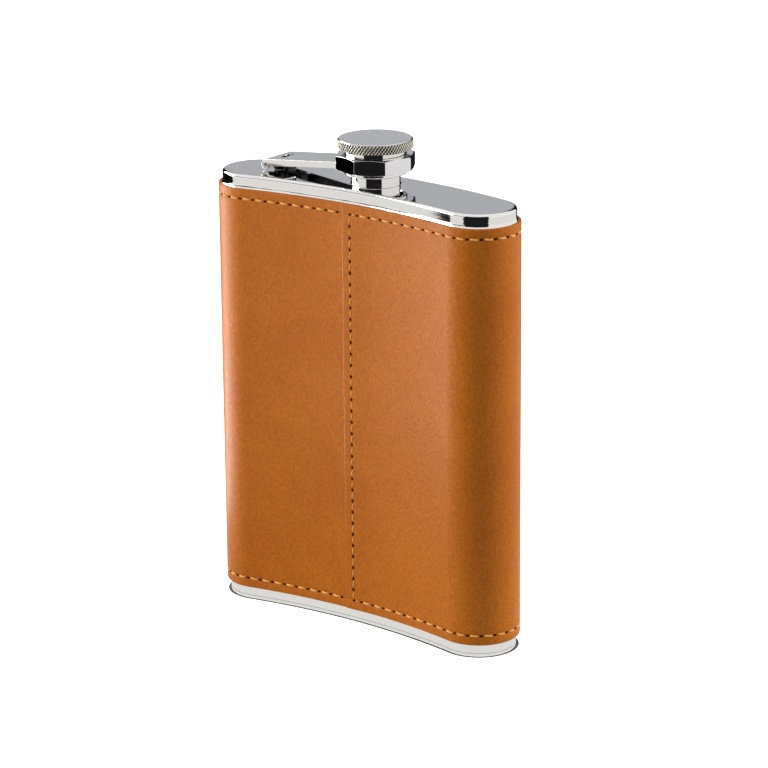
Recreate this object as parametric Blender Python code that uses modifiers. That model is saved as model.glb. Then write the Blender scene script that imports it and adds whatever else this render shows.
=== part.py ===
"""A pocket hip flask: a bent steel body in a stitched leather wrap, with a screw cap on a hinged arm.

Run it with blender --background --python part.py. Lengths are in metres and +Z is up. The base
rests on the plane Z = 0 with the neck's axis on the Z axis. X runs along the flask's width, the
hollow face looks towards -Y, and the arm's hinge is at -X.
"""

from math import asin, atan2, cos, pi, radians, sin, sqrt

import bmesh
import bpy
from mathutils import Matrix

# The body's plan, measured over the leather.
WIDTH = 0.095
THICKNESS = 0.0224
HOLLOW_RADIUS = 0.165
BACK_RADIUS = 0.172
BODY_HEIGHT = 0.1203

# Sheet and leather.
LEATHER_ROOM = 0.0011
LEATHER_THICKNESS = 0.0010
WALL_SHEET = 0.0006
PLATE_SHEET = 0.0009
RIM_ROUNDING = 0.0007
SPIGOT_SHEET = 0.0005
SPIGOT_DEPTH = 0.0026
WELD_GAP = 0.0001
EASED_EDGE = 0.0002
CHAMFER = 0.0003

# The leather stops short of both rims, with a row of stitches along each edge and one up the lap.
LEATHER_BOTTOM = 0.00355
LEATHER_TOP = BODY_HEIGHT - 0.00355
LEATHER_EDGE = 0.0003
SEAM_MARGIN = 0.0027
GROOVE_DEPTH = 0.0004
GROOVE_HALF_WIDTH = 0.0003
LAP_GROOVE_SHARE = 0.85
THREAD_RADIUS = 0.0002
THREAD_SINK = 0.00012
LAP_EDGE_X = -0.0026
LAP_GAP = 0.0003

# The neck, with heights measured from the top of the body.
NECK_RADIUS = 0.0066
NECK_BORE = 0.0052
NECK_HEIGHT = 0.0087
NECK_SHOULDER = 0.0029
NECK_SPIGOT_RADIUS = 0.0061
NECK_SPIGOT_DEPTH = 0.0020
THREAD_ROOT_RADIUS = 0.00605
THREAD_CREST_RADIUS = 0.0064
THREAD_PITCH = 0.0014
THREAD_TURNS = 3
THREAD_START = 0.0008
SLEEVE_THREAD_START = 0.0018

# The cap: a sleeve with a ring at its foot and a knurled head on top, free to turn in the collar.
SLEEVE_BORE = 0.00715
SLEEVE_RADIUS = 0.0080
SLEEVE_STEP_RADIUS = 0.00775
SLEEVE_RIDGE_RADIUS = 0.00705
RING_BOTTOM = 0.0029
RING_TOP = 0.0039
RING_RADIUS = 0.0084
RING_TAPER = 0.0004
RING_SHOULDER = 0.0005
SLEEVE_TOP = 0.0103
HEAD_RADIUS = 0.0101
HEAD_BOTTOM = 0.00965
HEAD_RIM = 0.0123
HEAD_CROWN = 0.01245
HEAD_CEILING = 0.0104
HEAD_RIM_WIDTH = 0.0008
HEAD_RIM_DEPTH = 0.0005
CROWN_SHARE = 0.45
CROWN_FALL = 0.00003
SEAL_RADIUS = 0.0069
SEAL_BOTTOM = 0.00885
SEAL_TOP = 0.0102

# The eight-sided collar that carries the cap.
COLLAR_CORNER_RADIUS = 0.0108
COLLAR_BORE = 0.0083
COLLAR_BOTTOM = 0.0041
COLLAR_TOP = 0.0082
COLLAR_TURN = radians(6.2)
COLLAR_CHAMFER = 0.0003

# The arm is a channel with its flanges down. It climbs from the hinge pin to the collar.
PIN_X = -0.033
PIN_HEIGHT = 0.0016
PIN_RADIUS = 0.00045
PIN_HOLE_RADIUS = 0.00053
PIN_HALF_LENGTH = 0.00575
ARM_SLOPE = radians(6.0)
ARM_HALF_WIDTH = 0.0056
ARM_SHEET = 0.0005
ARM_END_ROUND = 0.0014
FLANGE_DEPTH = 0.00185
ARM_REACH = 0.0262
ARM_EDGE = 0.00025
ARM_SLOT_X = 0.0034
ARM_SLOT_WIDTH = 0.0018
ARM_SLOT_LENGTH = 0.0056
WEB_OVERHANG = 0.0006

# The bracket under the arm: two ears joined by an end wall.
BRACKET_HALF_WIDTH = 0.0038
BRACKET_SHEET = 0.0008
BRACKET_LENGTH = 0.0046
BRACKET_CORNER = 0.0028
EAR_TOP = 0.0008
EAR_ROUND = 0.0008
EAR_FOOT_X = 0.0016
EAR_NECK = 0.0004

ROUND_STEPS = 56
END_STEPS = 18
FACE_STEPS = 26
ARM_END_STEPS = 22
BEND_STEPS = 6
EAR_STEPS = 10
PIN_STEPS = 24
HEAD_STEPS = 72
SMALL_BEVEL = 0.00015
CUT_MARGIN = 0.002
MERGE_DISTANCE = 0.000001
SMALL_REACH = 0.004
LONG_REACH = 0.008

# Shares of the thread pitch: half the width of a ridge at its foot and at its tip.
RIDGE_FOOT_SHARE = 0.34
RIDGE_TIP_SHARE = 0.1
RIDGE_BURIED_SHARE = 0.4


def clear_scene():
    for item in list(bpy.data.objects):
        bpy.data.objects.remove(item, do_unlink=True)


def new_collection(name, hidden=False):
    made = bpy.data.collections.new(name)
    bpy.context.scene.collection.children.link(made)
    made.hide_render = hidden
    return made


def material(name, colour, roughness, metallic):
    made = bpy.data.materials.new(name)
    made.use_nodes = True
    shader = made.node_tree.nodes["Principled BSDF"]
    shader.inputs["Base Color"].default_value = (*colour, 1.0)
    shader.inputs["Roughness"].default_value = roughness
    shader.inputs["Metallic"].default_value = metallic
    return made


def steel(name, roughness=0.08):
    return material(name, (0.72, 0.72, 0.73), roughness, 1.0)


def add_part(name, data, surface, origin=(0, 0, 0), turn=(0, 0, 0)):
    data.name = name
    data.materials.append(surface)
    part = bpy.data.objects.new(name, data)
    part.location = origin
    part.rotation_euler = turn
    FLASK.objects.link(part)
    return part


def add_cutter(name, bm, origin=(0, 0, 0), turn=(0, 0, 0)):
    data = bpy.data.meshes.new(name)
    bmesh.ops.recalc_face_normals(bm, faces=bm.faces)
    bm.to_mesh(data)
    bm.free()
    cutter = bpy.data.objects.new(name, data)
    cutter.location = origin
    cutter.rotation_euler = turn
    cutter.hide_render = True
    cutter.display_type = "WIRE"
    CUTTERS.objects.link(cutter)
    return cutter


def combine(part, tool, operation="DIFFERENCE"):
    boolean = part.modifiers.new(tool.name, "BOOLEAN")
    boolean.object = tool
    boolean.operation = operation
    boolean.solver = "EXACT"


def round_edges(part, width, segments=2, angle=radians(50)):
    bevel = part.modifiers.new("rounded edges", "BEVEL")
    bevel.width = width
    bevel.segments = segments
    bevel.limit_method = "ANGLE"
    bevel.angle_limit = angle


def shade_smooth(part):
    for face in part.data.polygons:
        face.use_smooth = True


def box(low, high):
    bm = bmesh.new()
    bmesh.ops.create_cube(bm, size=1.0)
    size = [b - a for a, b in zip(low, high)]
    middle = [(a + b) / 2 for a, b in zip(low, high)]
    bmesh.ops.scale(bm, vec=size, verts=bm.verts)
    bmesh.ops.translate(bm, vec=middle, verts=bm.verts)
    return bm


def rod(radius, half_length, steps=32):
    """A cylinder along Y, centred on the origin."""
    bm = bmesh.new()
    across = Matrix.Rotation(pi / 2, 4, "X")
    bmesh.ops.create_cone(
        bm, cap_ends=True, segments=steps, radius1=radius, radius2=radius,
        depth=2 * half_length, matrix=across,
    )
    return bm


def arc(centre, radius, start, end, steps):
    """Points from start towards end, leaving the last one to the arc that follows."""
    return [
        (
            centre[0] + radius * cos(start + (end - start) * i / steps),
            centre[1] + radius * sin(start + (end - start) * i / steps),
        )
        for i in range(steps)
    ]


def section(inset):
    """The body's bent outline, offset inwards: a hollow arc, two round ends and a full back arc."""
    hollow_centre = (0, -THICKNESS / 2 - HOLLOW_RADIUS)
    back_centre = (0, THICKNESS / 2 - BACK_RADIUS)
    # The end circle touches both arcs, which gives a quadratic for its radius.
    lean = (HOLLOW_RADIUS + BACK_RADIUS) / (THICKNESS + HOLLOW_RADIUS - BACK_RADIUS)
    reach = (WIDTH - THICKNESS) / 2
    rise = HOLLOW_RADIUS + THICKNESS / 2
    linear = 2 * (lean * rise - reach - rise)
    shrink = (sqrt(linear**2 - 4 * (lean * reach) ** 2) - linear) / (2 * lean**2)
    end_radius = THICKNESS / 2 + shrink
    end_x = WIDTH / 2 - end_radius
    end_y = lean * shrink
    at_hollow = atan2(end_y - hollow_centre[1], end_x)
    at_back = atan2(end_y - back_centre[1], end_x)
    small = end_radius - inset
    return (
        arc((end_x, end_y), small, at_hollow - pi, at_back, END_STEPS)
        + arc(back_centre, BACK_RADIUS - inset, at_back, pi - at_back, FACE_STEPS)
        + arc((-end_x, end_y), small, pi - at_back, 2 * pi - at_hollow, END_STEPS)
        + arc(hollow_centre, HOLLOW_RADIUS + inset, pi - at_hollow, at_hollow, FACE_STEPS)
    )


def section_loft(name, stations, surface, hollow=False):
    """Joins copies of the body's outline, one for each (inset, height), into a plate or a tube."""
    bm = bmesh.new()
    rings = [[bm.verts.new((x, y, z)) for x, y in section(inset)] for inset, z in stations]
    pairs = list(zip(rings, rings[1:]))
    if hollow:
        pairs.append((rings[-1], rings[0]))
    else:
        bm.faces.new(rings[0])
        bm.faces.new(rings[-1])
    for below, above in pairs:
        for i in range(len(below)):
            bm.faces.new((below[i - 1], below[i], above[i], above[i - 1]))
    bmesh.ops.recalc_face_normals(bm, faces=bm.faces)
    data = bpy.data.meshes.new(name)
    bm.to_mesh(data)
    bm.free()
    return add_part(name, data, surface)


def turned(name, profile, surface, closed=True, steps=ROUND_STEPS):
    """Turns a profile of (radius, height over the body's top) round the neck's axis."""
    data = bpy.data.meshes.new(name)
    edges = [(i, i + 1) for i in range(len(profile) - 1)]
    if closed:
        edges.append((len(profile) - 1, 0))
    data.from_pydata([(r, 0, z) for r, z in profile], edges, [])
    part = add_part(name, data, surface, (0, 0, BODY_HEIGHT))
    screw = part.modifiers.new("turned", "SCREW")
    screw.axis = "Z"
    screw.steps = steps
    screw.render_steps = steps
    screw.use_merge_vertices = True
    screw.merge_threshold = 10 * MERGE_DISTANCE
    screw.use_smooth_shade = True
    return part


def flat_outline(name, points, half_thickness):
    """A closed outline in XY, thickened both ways along Z."""
    data = bpy.data.curves.new(name, "CURVE")
    data.dimensions = "2D"
    data.fill_mode = "BOTH"
    data.extrude = half_thickness
    spline = data.splines.new("POLY")
    spline.points.add(len(points) - 1)
    spline.use_cyclic_u = True
    for point, (x, y) in zip(spline.points, points):
        point.co = (x, y, 0, 1)
    return data


def as_welded_mesh(curve_data):
    """The curve's solid as a mesh with its caps joined on, so that it can be cut and can cut."""
    helper = bpy.data.objects.new("helper", curve_data)
    bpy.context.scene.collection.objects.link(helper)
    graph = bpy.context.evaluated_depsgraph_get()
    data = bpy.data.meshes.new_from_object(helper.evaluated_get(graph))
    bpy.data.objects.remove(helper)
    bpy.data.curves.remove(curve_data)
    bm = bmesh.new()
    bm.from_mesh(data)
    bmesh.ops.remove_doubles(bm, verts=bm.verts, dist=MERGE_DISTANCE)
    bmesh.ops.recalc_face_normals(bm, faces=bm.faces)
    bm.to_mesh(data)
    bm.free()
    return data


def helical_ridge(root, crest, start, pitch, turns):
    """A screw-thread ridge between two radii that fades into the root at both ends."""
    bm = bmesh.new()
    count = ROUND_STEPS * turns
    fade_steps = ROUND_STEPS / 4
    rings = []
    for i in range(count + 1):
        turn = 2 * pi * i / ROUND_STEPS
        grown = min(1.0, i / fade_steps, (count - i) / fade_steps)
        tip = root + (crest - root) * grown
        buried = root + (root - crest) * RIDGE_BURIED_SHARE
        height = start + pitch * i / ROUND_STEPS
        foot, top = RIDGE_FOOT_SHARE, RIDGE_TIP_SHARE
        shape = ((buried, -foot), (tip, -top), (tip, top), (buried, foot))
        rings.append(
            [bm.verts.new((r * cos(turn), r * sin(turn), height + share * pitch)) for r, share in shape]
        )
    for before, after in zip(rings, rings[1:]):
        for i in range(len(before)):
            bm.faces.new((before[i - 1], before[i], after[i], after[i - 1]))
    bm.faces.new(rings[0])
    bm.faces.new(rings[-1])
    return bm


def make_body_wall():
    outer = LEATHER_ROOM
    inner = LEATHER_ROOM + WALL_SHEET
    low = PLATE_SHEET + WELD_GAP
    high = BODY_HEIGHT - low
    section_loft(
        "body_wall",
        [(outer, low), (outer, high), (inner, high), (inner, low)],
        steel("polished steel"),
        hollow=True,
    )


def make_end_plate(name, face_z, inward):
    """A pressed plate with a rounded rim and a spigot that locates inside the wall."""
    outer = LEATHER_ROOM
    spigot = LEATHER_ROOM + WALL_SHEET + WELD_GAP
    inside = face_z + inward * PLATE_SHEET
    tip = inside + inward * SPIGOT_DEPTH
    rounding = [
        (outer + RIM_ROUNDING * (1 - cos(a)), face_z + inward * RIM_ROUNDING * (1 - sin(a)))
        for a in (pi / 2, pi / 3, pi / 6, 0)
    ]
    return section_loft(
        name,
        rounding
        + [(outer, inside), (spigot, inside), (spigot, tip), (spigot + SPIGOT_SHEET, tip)]
        + [(spigot + SPIGOT_SHEET, inside)],
        steel("mirror steel " + name, 0.04),
    )


def make_top_plate():
    plate = make_end_plate("top_plate", BODY_HEIGHT, -1)
    hole = bmesh.new()
    bmesh.ops.create_cone(
        hole, cap_ends=True, segments=ROUND_STEPS, radius1=NECK_SPIGOT_RADIUS + WELD_GAP,
        radius2=NECK_SPIGOT_RADIUS + WELD_GAP, depth=4 * PLATE_SHEET,
    )
    combine(plate, add_cutter("neck hole", hole, (0, 0, BODY_HEIGHT)))


def make_neck():
    neck = turned(
        "neck",
        [
            (NECK_BORE + EASED_EDGE, NECK_HEIGHT),
            (THREAD_ROOT_RADIUS - EASED_EDGE, NECK_HEIGHT),
            (THREAD_ROOT_RADIUS, NECK_HEIGHT - CHAMFER),
            (THREAD_ROOT_RADIUS, NECK_SHOULDER + EASED_EDGE),
            (NECK_RADIUS - EASED_EDGE, NECK_SHOULDER),
            (NECK_RADIUS, NECK_SHOULDER - CHAMFER),
            (NECK_RADIUS, WELD_GAP),
            (NECK_SPIGOT_RADIUS, WELD_GAP),
            (NECK_SPIGOT_RADIUS, -NECK_SPIGOT_DEPTH),
            (NECK_BORE, -NECK_SPIGOT_DEPTH),
            (NECK_BORE, NECK_HEIGHT - CHAMFER),
        ],
        steel("neck steel"),
    )
    ridge = helical_ridge(
        THREAD_ROOT_RADIUS, THREAD_CREST_RADIUS, NECK_SHOULDER + THREAD_START, THREAD_PITCH, THREAD_TURNS
    )
    combine(neck, add_cutter("neck thread", ridge, (0, 0, BODY_HEIGHT)), "UNION")


def make_leather_wrap():
    edge = LEATHER_EDGE
    inner = LEATHER_THICKNESS
    stations = [(inner, LEATHER_BOTTOM), (edge, LEATHER_BOTTOM), (0, LEATHER_BOTTOM + edge)]
    for seam in SEAM_HEIGHTS:
        stations += [
            (0, seam - 1.5 * GROOVE_HALF_WIDTH),
            (GROOVE_DEPTH, seam - GROOVE_HALF_WIDTH),
            (GROOVE_DEPTH, seam + GROOVE_HALF_WIDTH),
            (0, seam + 1.5 * GROOVE_HALF_WIDTH),
        ]
    stations += [(0, LEATHER_TOP - edge), (edge, LEATHER_TOP), (inner, LEATHER_TOP)]
    wrap = section_loft(
        "leather_wrap", stations, material("tan leather", (0.48, 0.16, 0.035), 0.5, 0.0), hollow=True
    )
    face_y = -THICKNESS / 2
    groove = box(
        (-GROOVE_HALF_WIDTH, face_y - CUT_MARGIN, SEAM_HEIGHTS[0]),
        (GROOVE_HALF_WIDTH, face_y + LAP_GROOVE_SHARE * GROOVE_DEPTH, SEAM_HEIGHTS[1]),
    )
    combine(wrap, add_cutter("lap seam groove", groove))
    lap = box(
        (LAP_EDGE_X - LAP_GAP / 2, face_y - CUT_MARGIN, -CUT_MARGIN),
        (LAP_EDGE_X + LAP_GAP / 2, face_y + CUT_MARGIN, BODY_HEIGHT),
    )
    combine(wrap, add_cutter("lap joint", lap))


def thread_tube(name, route, cyclic):
    data = bpy.data.curves.new(name, "CURVE")
    data.dimensions = "3D"
    data.bevel_depth = THREAD_RADIUS
    data.bevel_resolution = 1
    data.use_fill_caps = True
    spline = data.splines.new("POLY")
    spline.points.add(len(route) - 1)
    spline.use_cyclic_u = cyclic
    for point, place in zip(spline.points, route):
        point.co = (*place, 1)
    add_part(name, data, material("golden thread " + name, (0.85, 0.42, 0.08), 0.6, 0.0))


def make_threads():
    for name, seam in zip(("bottom_seam_thread", "top_seam_thread"), SEAM_HEIGHTS):
        thread_tube(name, [(x, y, seam) for x, y in section(THREAD_SINK)], True)
    line_y = -THICKNESS / 2 + THREAD_SINK
    clear = 2 * THREAD_RADIUS + GROOVE_HALF_WIDTH
    ends = (SEAM_HEIGHTS[0] + clear, SEAM_HEIGHTS[1] - clear)
    thread_tube("lap_seam_thread", [(0, line_y, z) for z in ends], False)


def make_arm():
    """The arm's side view is drawn about the pin's axis, then cut to a channel."""
    below = ARM_END_ROUND - FLANGE_DEPTH
    outline = arc((0, 0), ARM_END_ROUND, pi / 2, 2 * pi + asin(below / ARM_END_ROUND), ARM_END_STEPS)
    outline += [(sqrt(ARM_END_ROUND**2 - below**2), below), (ARM_REACH, below), (ARM_REACH, ARM_END_ROUND)]
    pin = (PIN_X, 0, BODY_HEIGHT + PIN_HEIGHT)
    tilt = (0, -ARM_SLOPE, 0)
    data = as_welded_mesh(flat_outline("retaining_arm", outline, ARM_HALF_WIDTH))
    data.transform(Matrix.Rotation(-ARM_SLOPE, 4, "Y") @ Matrix.Rotation(pi / 2, 4, "X"))
    arm = add_part("retaining_arm", data, steel("arm steel"), pin)
    round_edges(arm, ARM_EDGE)
    room = ARM_HALF_WIDTH - ARM_SHEET
    far = ARM_REACH + CUT_MARGIN
    channel = box((-SMALL_REACH, -room, -SMALL_REACH), (far, room, ARM_END_ROUND - ARM_SHEET))
    combine(arm, add_cutter("arm channel", channel, pin, tilt))
    web_end = box((-SMALL_REACH, -room, -SMALL_REACH), (-WEB_OVERHANG, room, SMALL_REACH))
    combine(arm, add_cutter("web end", web_end, pin, tilt))
    slot = box(
        (ARM_SLOT_X - ARM_SLOT_WIDTH / 2, -ARM_SLOT_LENGTH / 2, 0),
        (ARM_SLOT_X + ARM_SLOT_WIDTH / 2, ARM_SLOT_LENGTH / 2, SMALL_REACH),
    )
    combine(arm, add_cutter("arm slot", slot, pin, tilt))
    combine(arm, add_cutter("arm pin holes", rod(PIN_HOLE_RADIUS, LONG_REACH), pin))
    seat = octagon_prism(COLLAR_CORNER_RADIUS + WELD_GAP / cos(pi / 8), -CUT_MARGIN, HEAD_CROWN)
    combine(arm, add_cutter("collar seat", seat, (0, 0, BODY_HEIGHT)))


def octagon_prism(corner_radius, low, high):
    bm = bmesh.new()
    place = Matrix.Translation((0, 0, (low + high) / 2)) @ Matrix.Rotation(COLLAR_TURN, 4, "Z")
    bmesh.ops.create_cone(
        bm, cap_ends=True, segments=8, radius1=corner_radius, radius2=corner_radius,
        depth=high - low, matrix=place,
    )
    return bm


def make_collar():
    bm = octagon_prism(COLLAR_CORNER_RADIUS, COLLAR_BOTTOM, COLLAR_TOP)
    data = bpy.data.meshes.new("cap_collar")
    bmesh.ops.recalc_face_normals(bm, faces=bm.faces)
    bm.to_mesh(data)
    bm.free()
    # The collar swings with the arm, so its origin is on the pin.
    pin = (PIN_X, 0, BODY_HEIGHT + PIN_HEIGHT)
    data.transform(Matrix.Translation((-PIN_X, 0, -PIN_HEIGHT)))
    collar = add_part("cap_collar", data, steel("collar steel", 0.05), pin)
    round_edges(collar, COLLAR_CHAMFER, 2, radians(60))
    bore = bmesh.new()
    bmesh.ops.create_cone(
        bore, cap_ends=True, segments=ROUND_STEPS, radius1=COLLAR_BORE, radius2=COLLAR_BORE,
        depth=4 * LONG_REACH,
    )
    combine(collar, add_cutter("collar bore", bore, (0, 0, BODY_HEIGHT)))


def make_hinge_pin():
    data = bpy.data.meshes.new("hinge_pin")
    bm = rod(PIN_RADIUS, PIN_HALF_LENGTH, PIN_STEPS)
    bm.to_mesh(data)
    bm.free()
    pin = add_part("hinge_pin", data, steel("pin steel"), (PIN_X, 0, BODY_HEIGHT + PIN_HEIGHT))
    round_edges(pin, SMALL_BEVEL)


def make_bracket():
    """Two ears and an end wall in plan, cut to the ears' side view, which leaves room for the web."""
    half, sheet, length, corner = BRACKET_HALF_WIDTH, BRACKET_SHEET, BRACKET_LENGTH, BRACKET_CORNER
    back = -EAR_ROUND
    bend = corner - sheet
    plan = [(back, -half)] + arc((length - corner, corner - half), corner, -pi / 2, 0, BEND_STEPS)
    plan += arc((length - corner, half - corner), corner, 0, pi / 2, BEND_STEPS)
    plan += [(length - corner, half), (back, half), (back, half - sheet)]
    plan += arc((length - corner, half - corner), bend, pi / 2, 0, BEND_STEPS)
    plan += arc((length - corner, corner - half), bend, 0, -pi / 2, BEND_STEPS)
    plan += [(length - corner, sheet - half), (back, sheet - half)]
    pin = (PIN_X, 0, BODY_HEIGHT + PIN_HEIGHT)
    data = as_welded_mesh(flat_outline("hinge_bracket", plan, PIN_HEIGHT - WELD_GAP))
    bracket = add_part("hinge_bracket", data, steel("bracket steel", 0.12), pin)
    foot = WELD_GAP - PIN_HEIGHT
    side = arc((0, 0), EAR_ROUND, 3 * pi / 2, pi / 2, EAR_STEPS) + [(0, EAR_TOP)]
    side += [(length + CUT_MARGIN, EAR_TOP), (length + CUT_MARGIN, foot), (EAR_FOOT_X, foot)]
    side += [(EAR_FOOT_X, -EAR_ROUND - EAR_NECK), (EAR_FOOT_X - EAR_NECK, -EAR_ROUND)]
    ears = bmesh.new()
    ears.from_mesh(as_welded_mesh(flat_outline("ear side", side, 2 * half)))
    combine(bracket, add_cutter("ear side view", ears, pin, (pi / 2, 0, 0)), "INTERSECT")
    combine(bracket, add_cutter("bracket pin holes", rod(PIN_HOLE_RADIUS, LONG_REACH), pin))


def make_sleeve():
    sleeve = turned(
        "cap_sleeve",
        [
            (SLEEVE_BORE, SLEEVE_TOP),
            (SLEEVE_RADIUS, SLEEVE_TOP),
            (SLEEVE_RADIUS, RING_TOP + WELD_GAP),
            (SLEEVE_STEP_RADIUS, RING_TOP + WELD_GAP),
            (SLEEVE_STEP_RADIUS, RING_BOTTOM),
            (SLEEVE_BORE + CHAMFER, RING_BOTTOM),
            (SLEEVE_BORE, RING_BOTTOM + CHAMFER),
        ],
        steel("sleeve steel"),
    )
    start = RING_BOTTOM + SLEEVE_THREAD_START
    ridge = helical_ridge(SLEEVE_BORE, SLEEVE_RIDGE_RADIUS, start, THREAD_PITCH, THREAD_TURNS - 1)
    combine(sleeve, add_cutter("sleeve thread", ridge, (0, 0, BODY_HEIGHT)), "UNION")


def make_cap_ring():
    bore = SLEEVE_STEP_RADIUS + WELD_GAP
    turned(
        "cap_ring",
        [
            (bore, RING_TOP),
            (RING_RADIUS - SMALL_BEVEL, RING_TOP),
            (RING_RADIUS, RING_TOP - SMALL_BEVEL),
            (RING_RADIUS, RING_TOP - RING_SHOULDER),
            (RING_RADIUS - RING_TAPER, RING_BOTTOM + SMALL_BEVEL),
            (RING_RADIUS - RING_TAPER - SMALL_BEVEL, RING_BOTTOM),
            (bore, RING_BOTTOM),
        ],
        steel("ring steel"),
    )


def make_cap_head():
    recess = SLEEVE_RADIUS + 1.5 * WELD_GAP
    turned(
        "cap_head",
        [
            (0, HEAD_CROWN),
            (CROWN_SHARE * HEAD_RADIUS, HEAD_CROWN - CROWN_FALL),
            (HEAD_RADIUS - HEAD_RIM_WIDTH, HEAD_RIM),
            (HEAD_RADIUS - CHAMFER, HEAD_RIM - SMALL_BEVEL),
            (HEAD_RADIUS, HEAD_RIM - HEAD_RIM_DEPTH),
            (HEAD_RADIUS, HEAD_BOTTOM + SMALL_BEVEL),
            (HEAD_RADIUS - SMALL_BEVEL, HEAD_BOTTOM),
            (recess, HEAD_BOTTOM),
            (recess, HEAD_CEILING),
            (0, HEAD_CEILING),
        ],
        steel("head steel", 0.1),
        closed=False,
        steps=HEAD_STEPS,
    )


def make_cap_seal():
    turned(
        "cap_seal",
        [
            (0, SEAL_TOP),
            (SEAL_RADIUS, SEAL_TOP),
            (SEAL_RADIUS, SEAL_BOTTOM),
            (0, SEAL_BOTTOM),
        ],
        material("white rubber", (0.75, 0.74, 0.7), 0.7, 0.0),
        closed=False,
    )


clear_scene()
FLASK = new_collection("hip flask")
CUTTERS = new_collection("cutters", hidden=True)
SEAM_HEIGHTS = (LEATHER_BOTTOM + SEAM_MARGIN, LEATHER_TOP - SEAM_MARGIN)

make_body_wall()
make_end_plate("bottom_plate", 0, 1)
make_top_plate()
make_neck()
make_leather_wrap()
make_threads()
make_bracket()
make_arm()
make_hinge_pin()
make_collar()
make_sleeve()
make_cap_ring()
make_cap_head()
make_cap_seal()
for part in FLASK.objects:
    if part.type == "MESH" and part.name in ("body_wall", "leather_wrap"):
        shade_smooth(part)
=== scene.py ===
"""Looks of the hip flask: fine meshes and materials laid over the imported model, with studio and camera.

Lengths are in metres. A place on the leather is given as (along, height, out): the distance along
the outline from the middle of the hollow face towards +X, the height over the base, and the height
over the leather's outer surface.
"""

from math import atan2, cos, exp, floor, pi, radians, sin, sqrt

import bmesh
import bpy
from mathutils import Matrix, Quaternion, Vector


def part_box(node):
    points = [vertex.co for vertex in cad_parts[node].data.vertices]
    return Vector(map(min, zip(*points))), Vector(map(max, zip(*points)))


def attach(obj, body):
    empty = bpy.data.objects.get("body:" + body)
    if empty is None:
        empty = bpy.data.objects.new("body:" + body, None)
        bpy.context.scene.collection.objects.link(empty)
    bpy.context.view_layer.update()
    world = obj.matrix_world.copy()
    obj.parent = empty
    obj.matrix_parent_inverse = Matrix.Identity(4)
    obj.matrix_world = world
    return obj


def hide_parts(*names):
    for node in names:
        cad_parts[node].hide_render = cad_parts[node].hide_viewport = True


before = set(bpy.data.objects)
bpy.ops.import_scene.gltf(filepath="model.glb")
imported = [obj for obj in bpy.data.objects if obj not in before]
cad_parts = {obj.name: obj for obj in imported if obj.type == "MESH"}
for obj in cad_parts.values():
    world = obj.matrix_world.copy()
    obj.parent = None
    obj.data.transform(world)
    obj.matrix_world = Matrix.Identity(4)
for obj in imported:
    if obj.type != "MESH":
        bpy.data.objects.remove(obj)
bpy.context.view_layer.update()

# The body's outline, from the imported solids. Only the two long radii are design values.
WRAP_LOW, WRAP_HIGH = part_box("leather_wrap")
WALL_LOW, WALL_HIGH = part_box("body_wall")
WIDTH = WRAP_HIGH.x - WRAP_LOW.x
THICKNESS = 2 * WRAP_HIGH.y
HOLLOW_RADIUS = 0.165
BACK_RADIUS = 0.172
STEEL_OUT = WALL_HIGH.x - WRAP_HIGH.x
WALL_SHEET = 0.0006
BODY_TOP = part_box("top_plate")[1].z
OUTLINE_STEP = 0.0006
BAND_FLARE_REACH = 0.00095
BAND_FLARE_CURVE = 360
BAND_WAIST = 0.00005
BAND_TUCK = 0.0003
BAND_STEPS = 26

# Leather and stitches.
LEATHER_THICKNESS = 0.0010
EDGE_ROUND = 0.00035
LAP_EDGE = -0.0026
LAP_RISE = 0.00030
LAP_BLEND = 0.011
LAP_CRACK = 0.00018
LAP_EASE = 0.00012
COLUMN_STEP = 0.0009
ROW_STEP = 0.0025
SEAM_HEIGHTS = (
    (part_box("bottom_seam_thread")[0].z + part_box("bottom_seam_thread")[1].z) / 2,
    (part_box("top_seam_thread")[0].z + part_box("top_seam_thread")[1].z) / 2,
)
STITCH_PITCH = 0.00378
FIRST_STITCH = 0.0024
LAST_STITCH = 0.0016
LAP_PITCH = 0.00321
STITCH_RADIUS = 0.00023
STITCH_SLANT = 0.00009
LAP_THREAD = 0.66
HOLE_RADIUS = 0.00056
VALLEY_DEPTH = 0.00018
VALLEY_WIDTH = 0.00065
LAP_VALLEY = 0.3

# The neck and cap, with heights measured from the top of the body.
NECK_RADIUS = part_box("neck")[1].x
NECK_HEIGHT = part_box("neck")[1].z - BODY_TOP
NECK_BORE = 0.0052
NECK_SHOULDER = 0.0029
SPIGOT_RADIUS = 0.0061
SPIGOT_DEPTH = BODY_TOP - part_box("neck")[0].z
THREAD_ROOT = 0.00605
THREAD_CREST = 0.0064
THREAD_PITCH = 0.0014
THREAD_FADE = 0.0006
HEAD_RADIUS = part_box("cap_head")[1].x
HEAD_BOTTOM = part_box("cap_head")[0].z - BODY_TOP
HEAD_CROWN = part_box("cap_head")[1].z - BODY_TOP
HEAD_RECESS = 0.00815
HEAD_CEILING = 0.0104
KNURLS = 72
KNURL_DEPTH = 0.00030
KNURL_TOP = 0.00034
KNURL_CROSSING = 0.55
KNURL_LEVELS = 22
CROWN_DROP = 0.00014
CROWN_STEPS = 5
# Knurl faces lower than this share take the near-black material, painted shade in the grooves.
KNURL_SHADE = 0.78
SLEEVE_BORE = 0.00715
SLEEVE_STEP = 0.00775
RIDGE_RADIUS = 0.00705
RIDGE_START, RIDGE_END = 0.0008, 0.0050
RING_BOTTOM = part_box("cap_ring")[0].z - BODY_TOP
RING_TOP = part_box("cap_ring")[1].z - BODY_TOP
RING_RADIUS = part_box("cap_ring")[1].x
RING_BULGE = 0.00035
RING_STEPS = 12
SLEEVE_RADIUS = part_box("cap_sleeve")[1].x
SLEEVE_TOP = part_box("cap_sleeve")[1].z - BODY_TOP
SEAL_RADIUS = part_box("cap_seal")[1].x
LIP_WIDTH = 0.0004
LIP_DEPTH = 0.00012
SEAL_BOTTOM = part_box("cap_seal")[0].z - BODY_TOP
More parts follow.
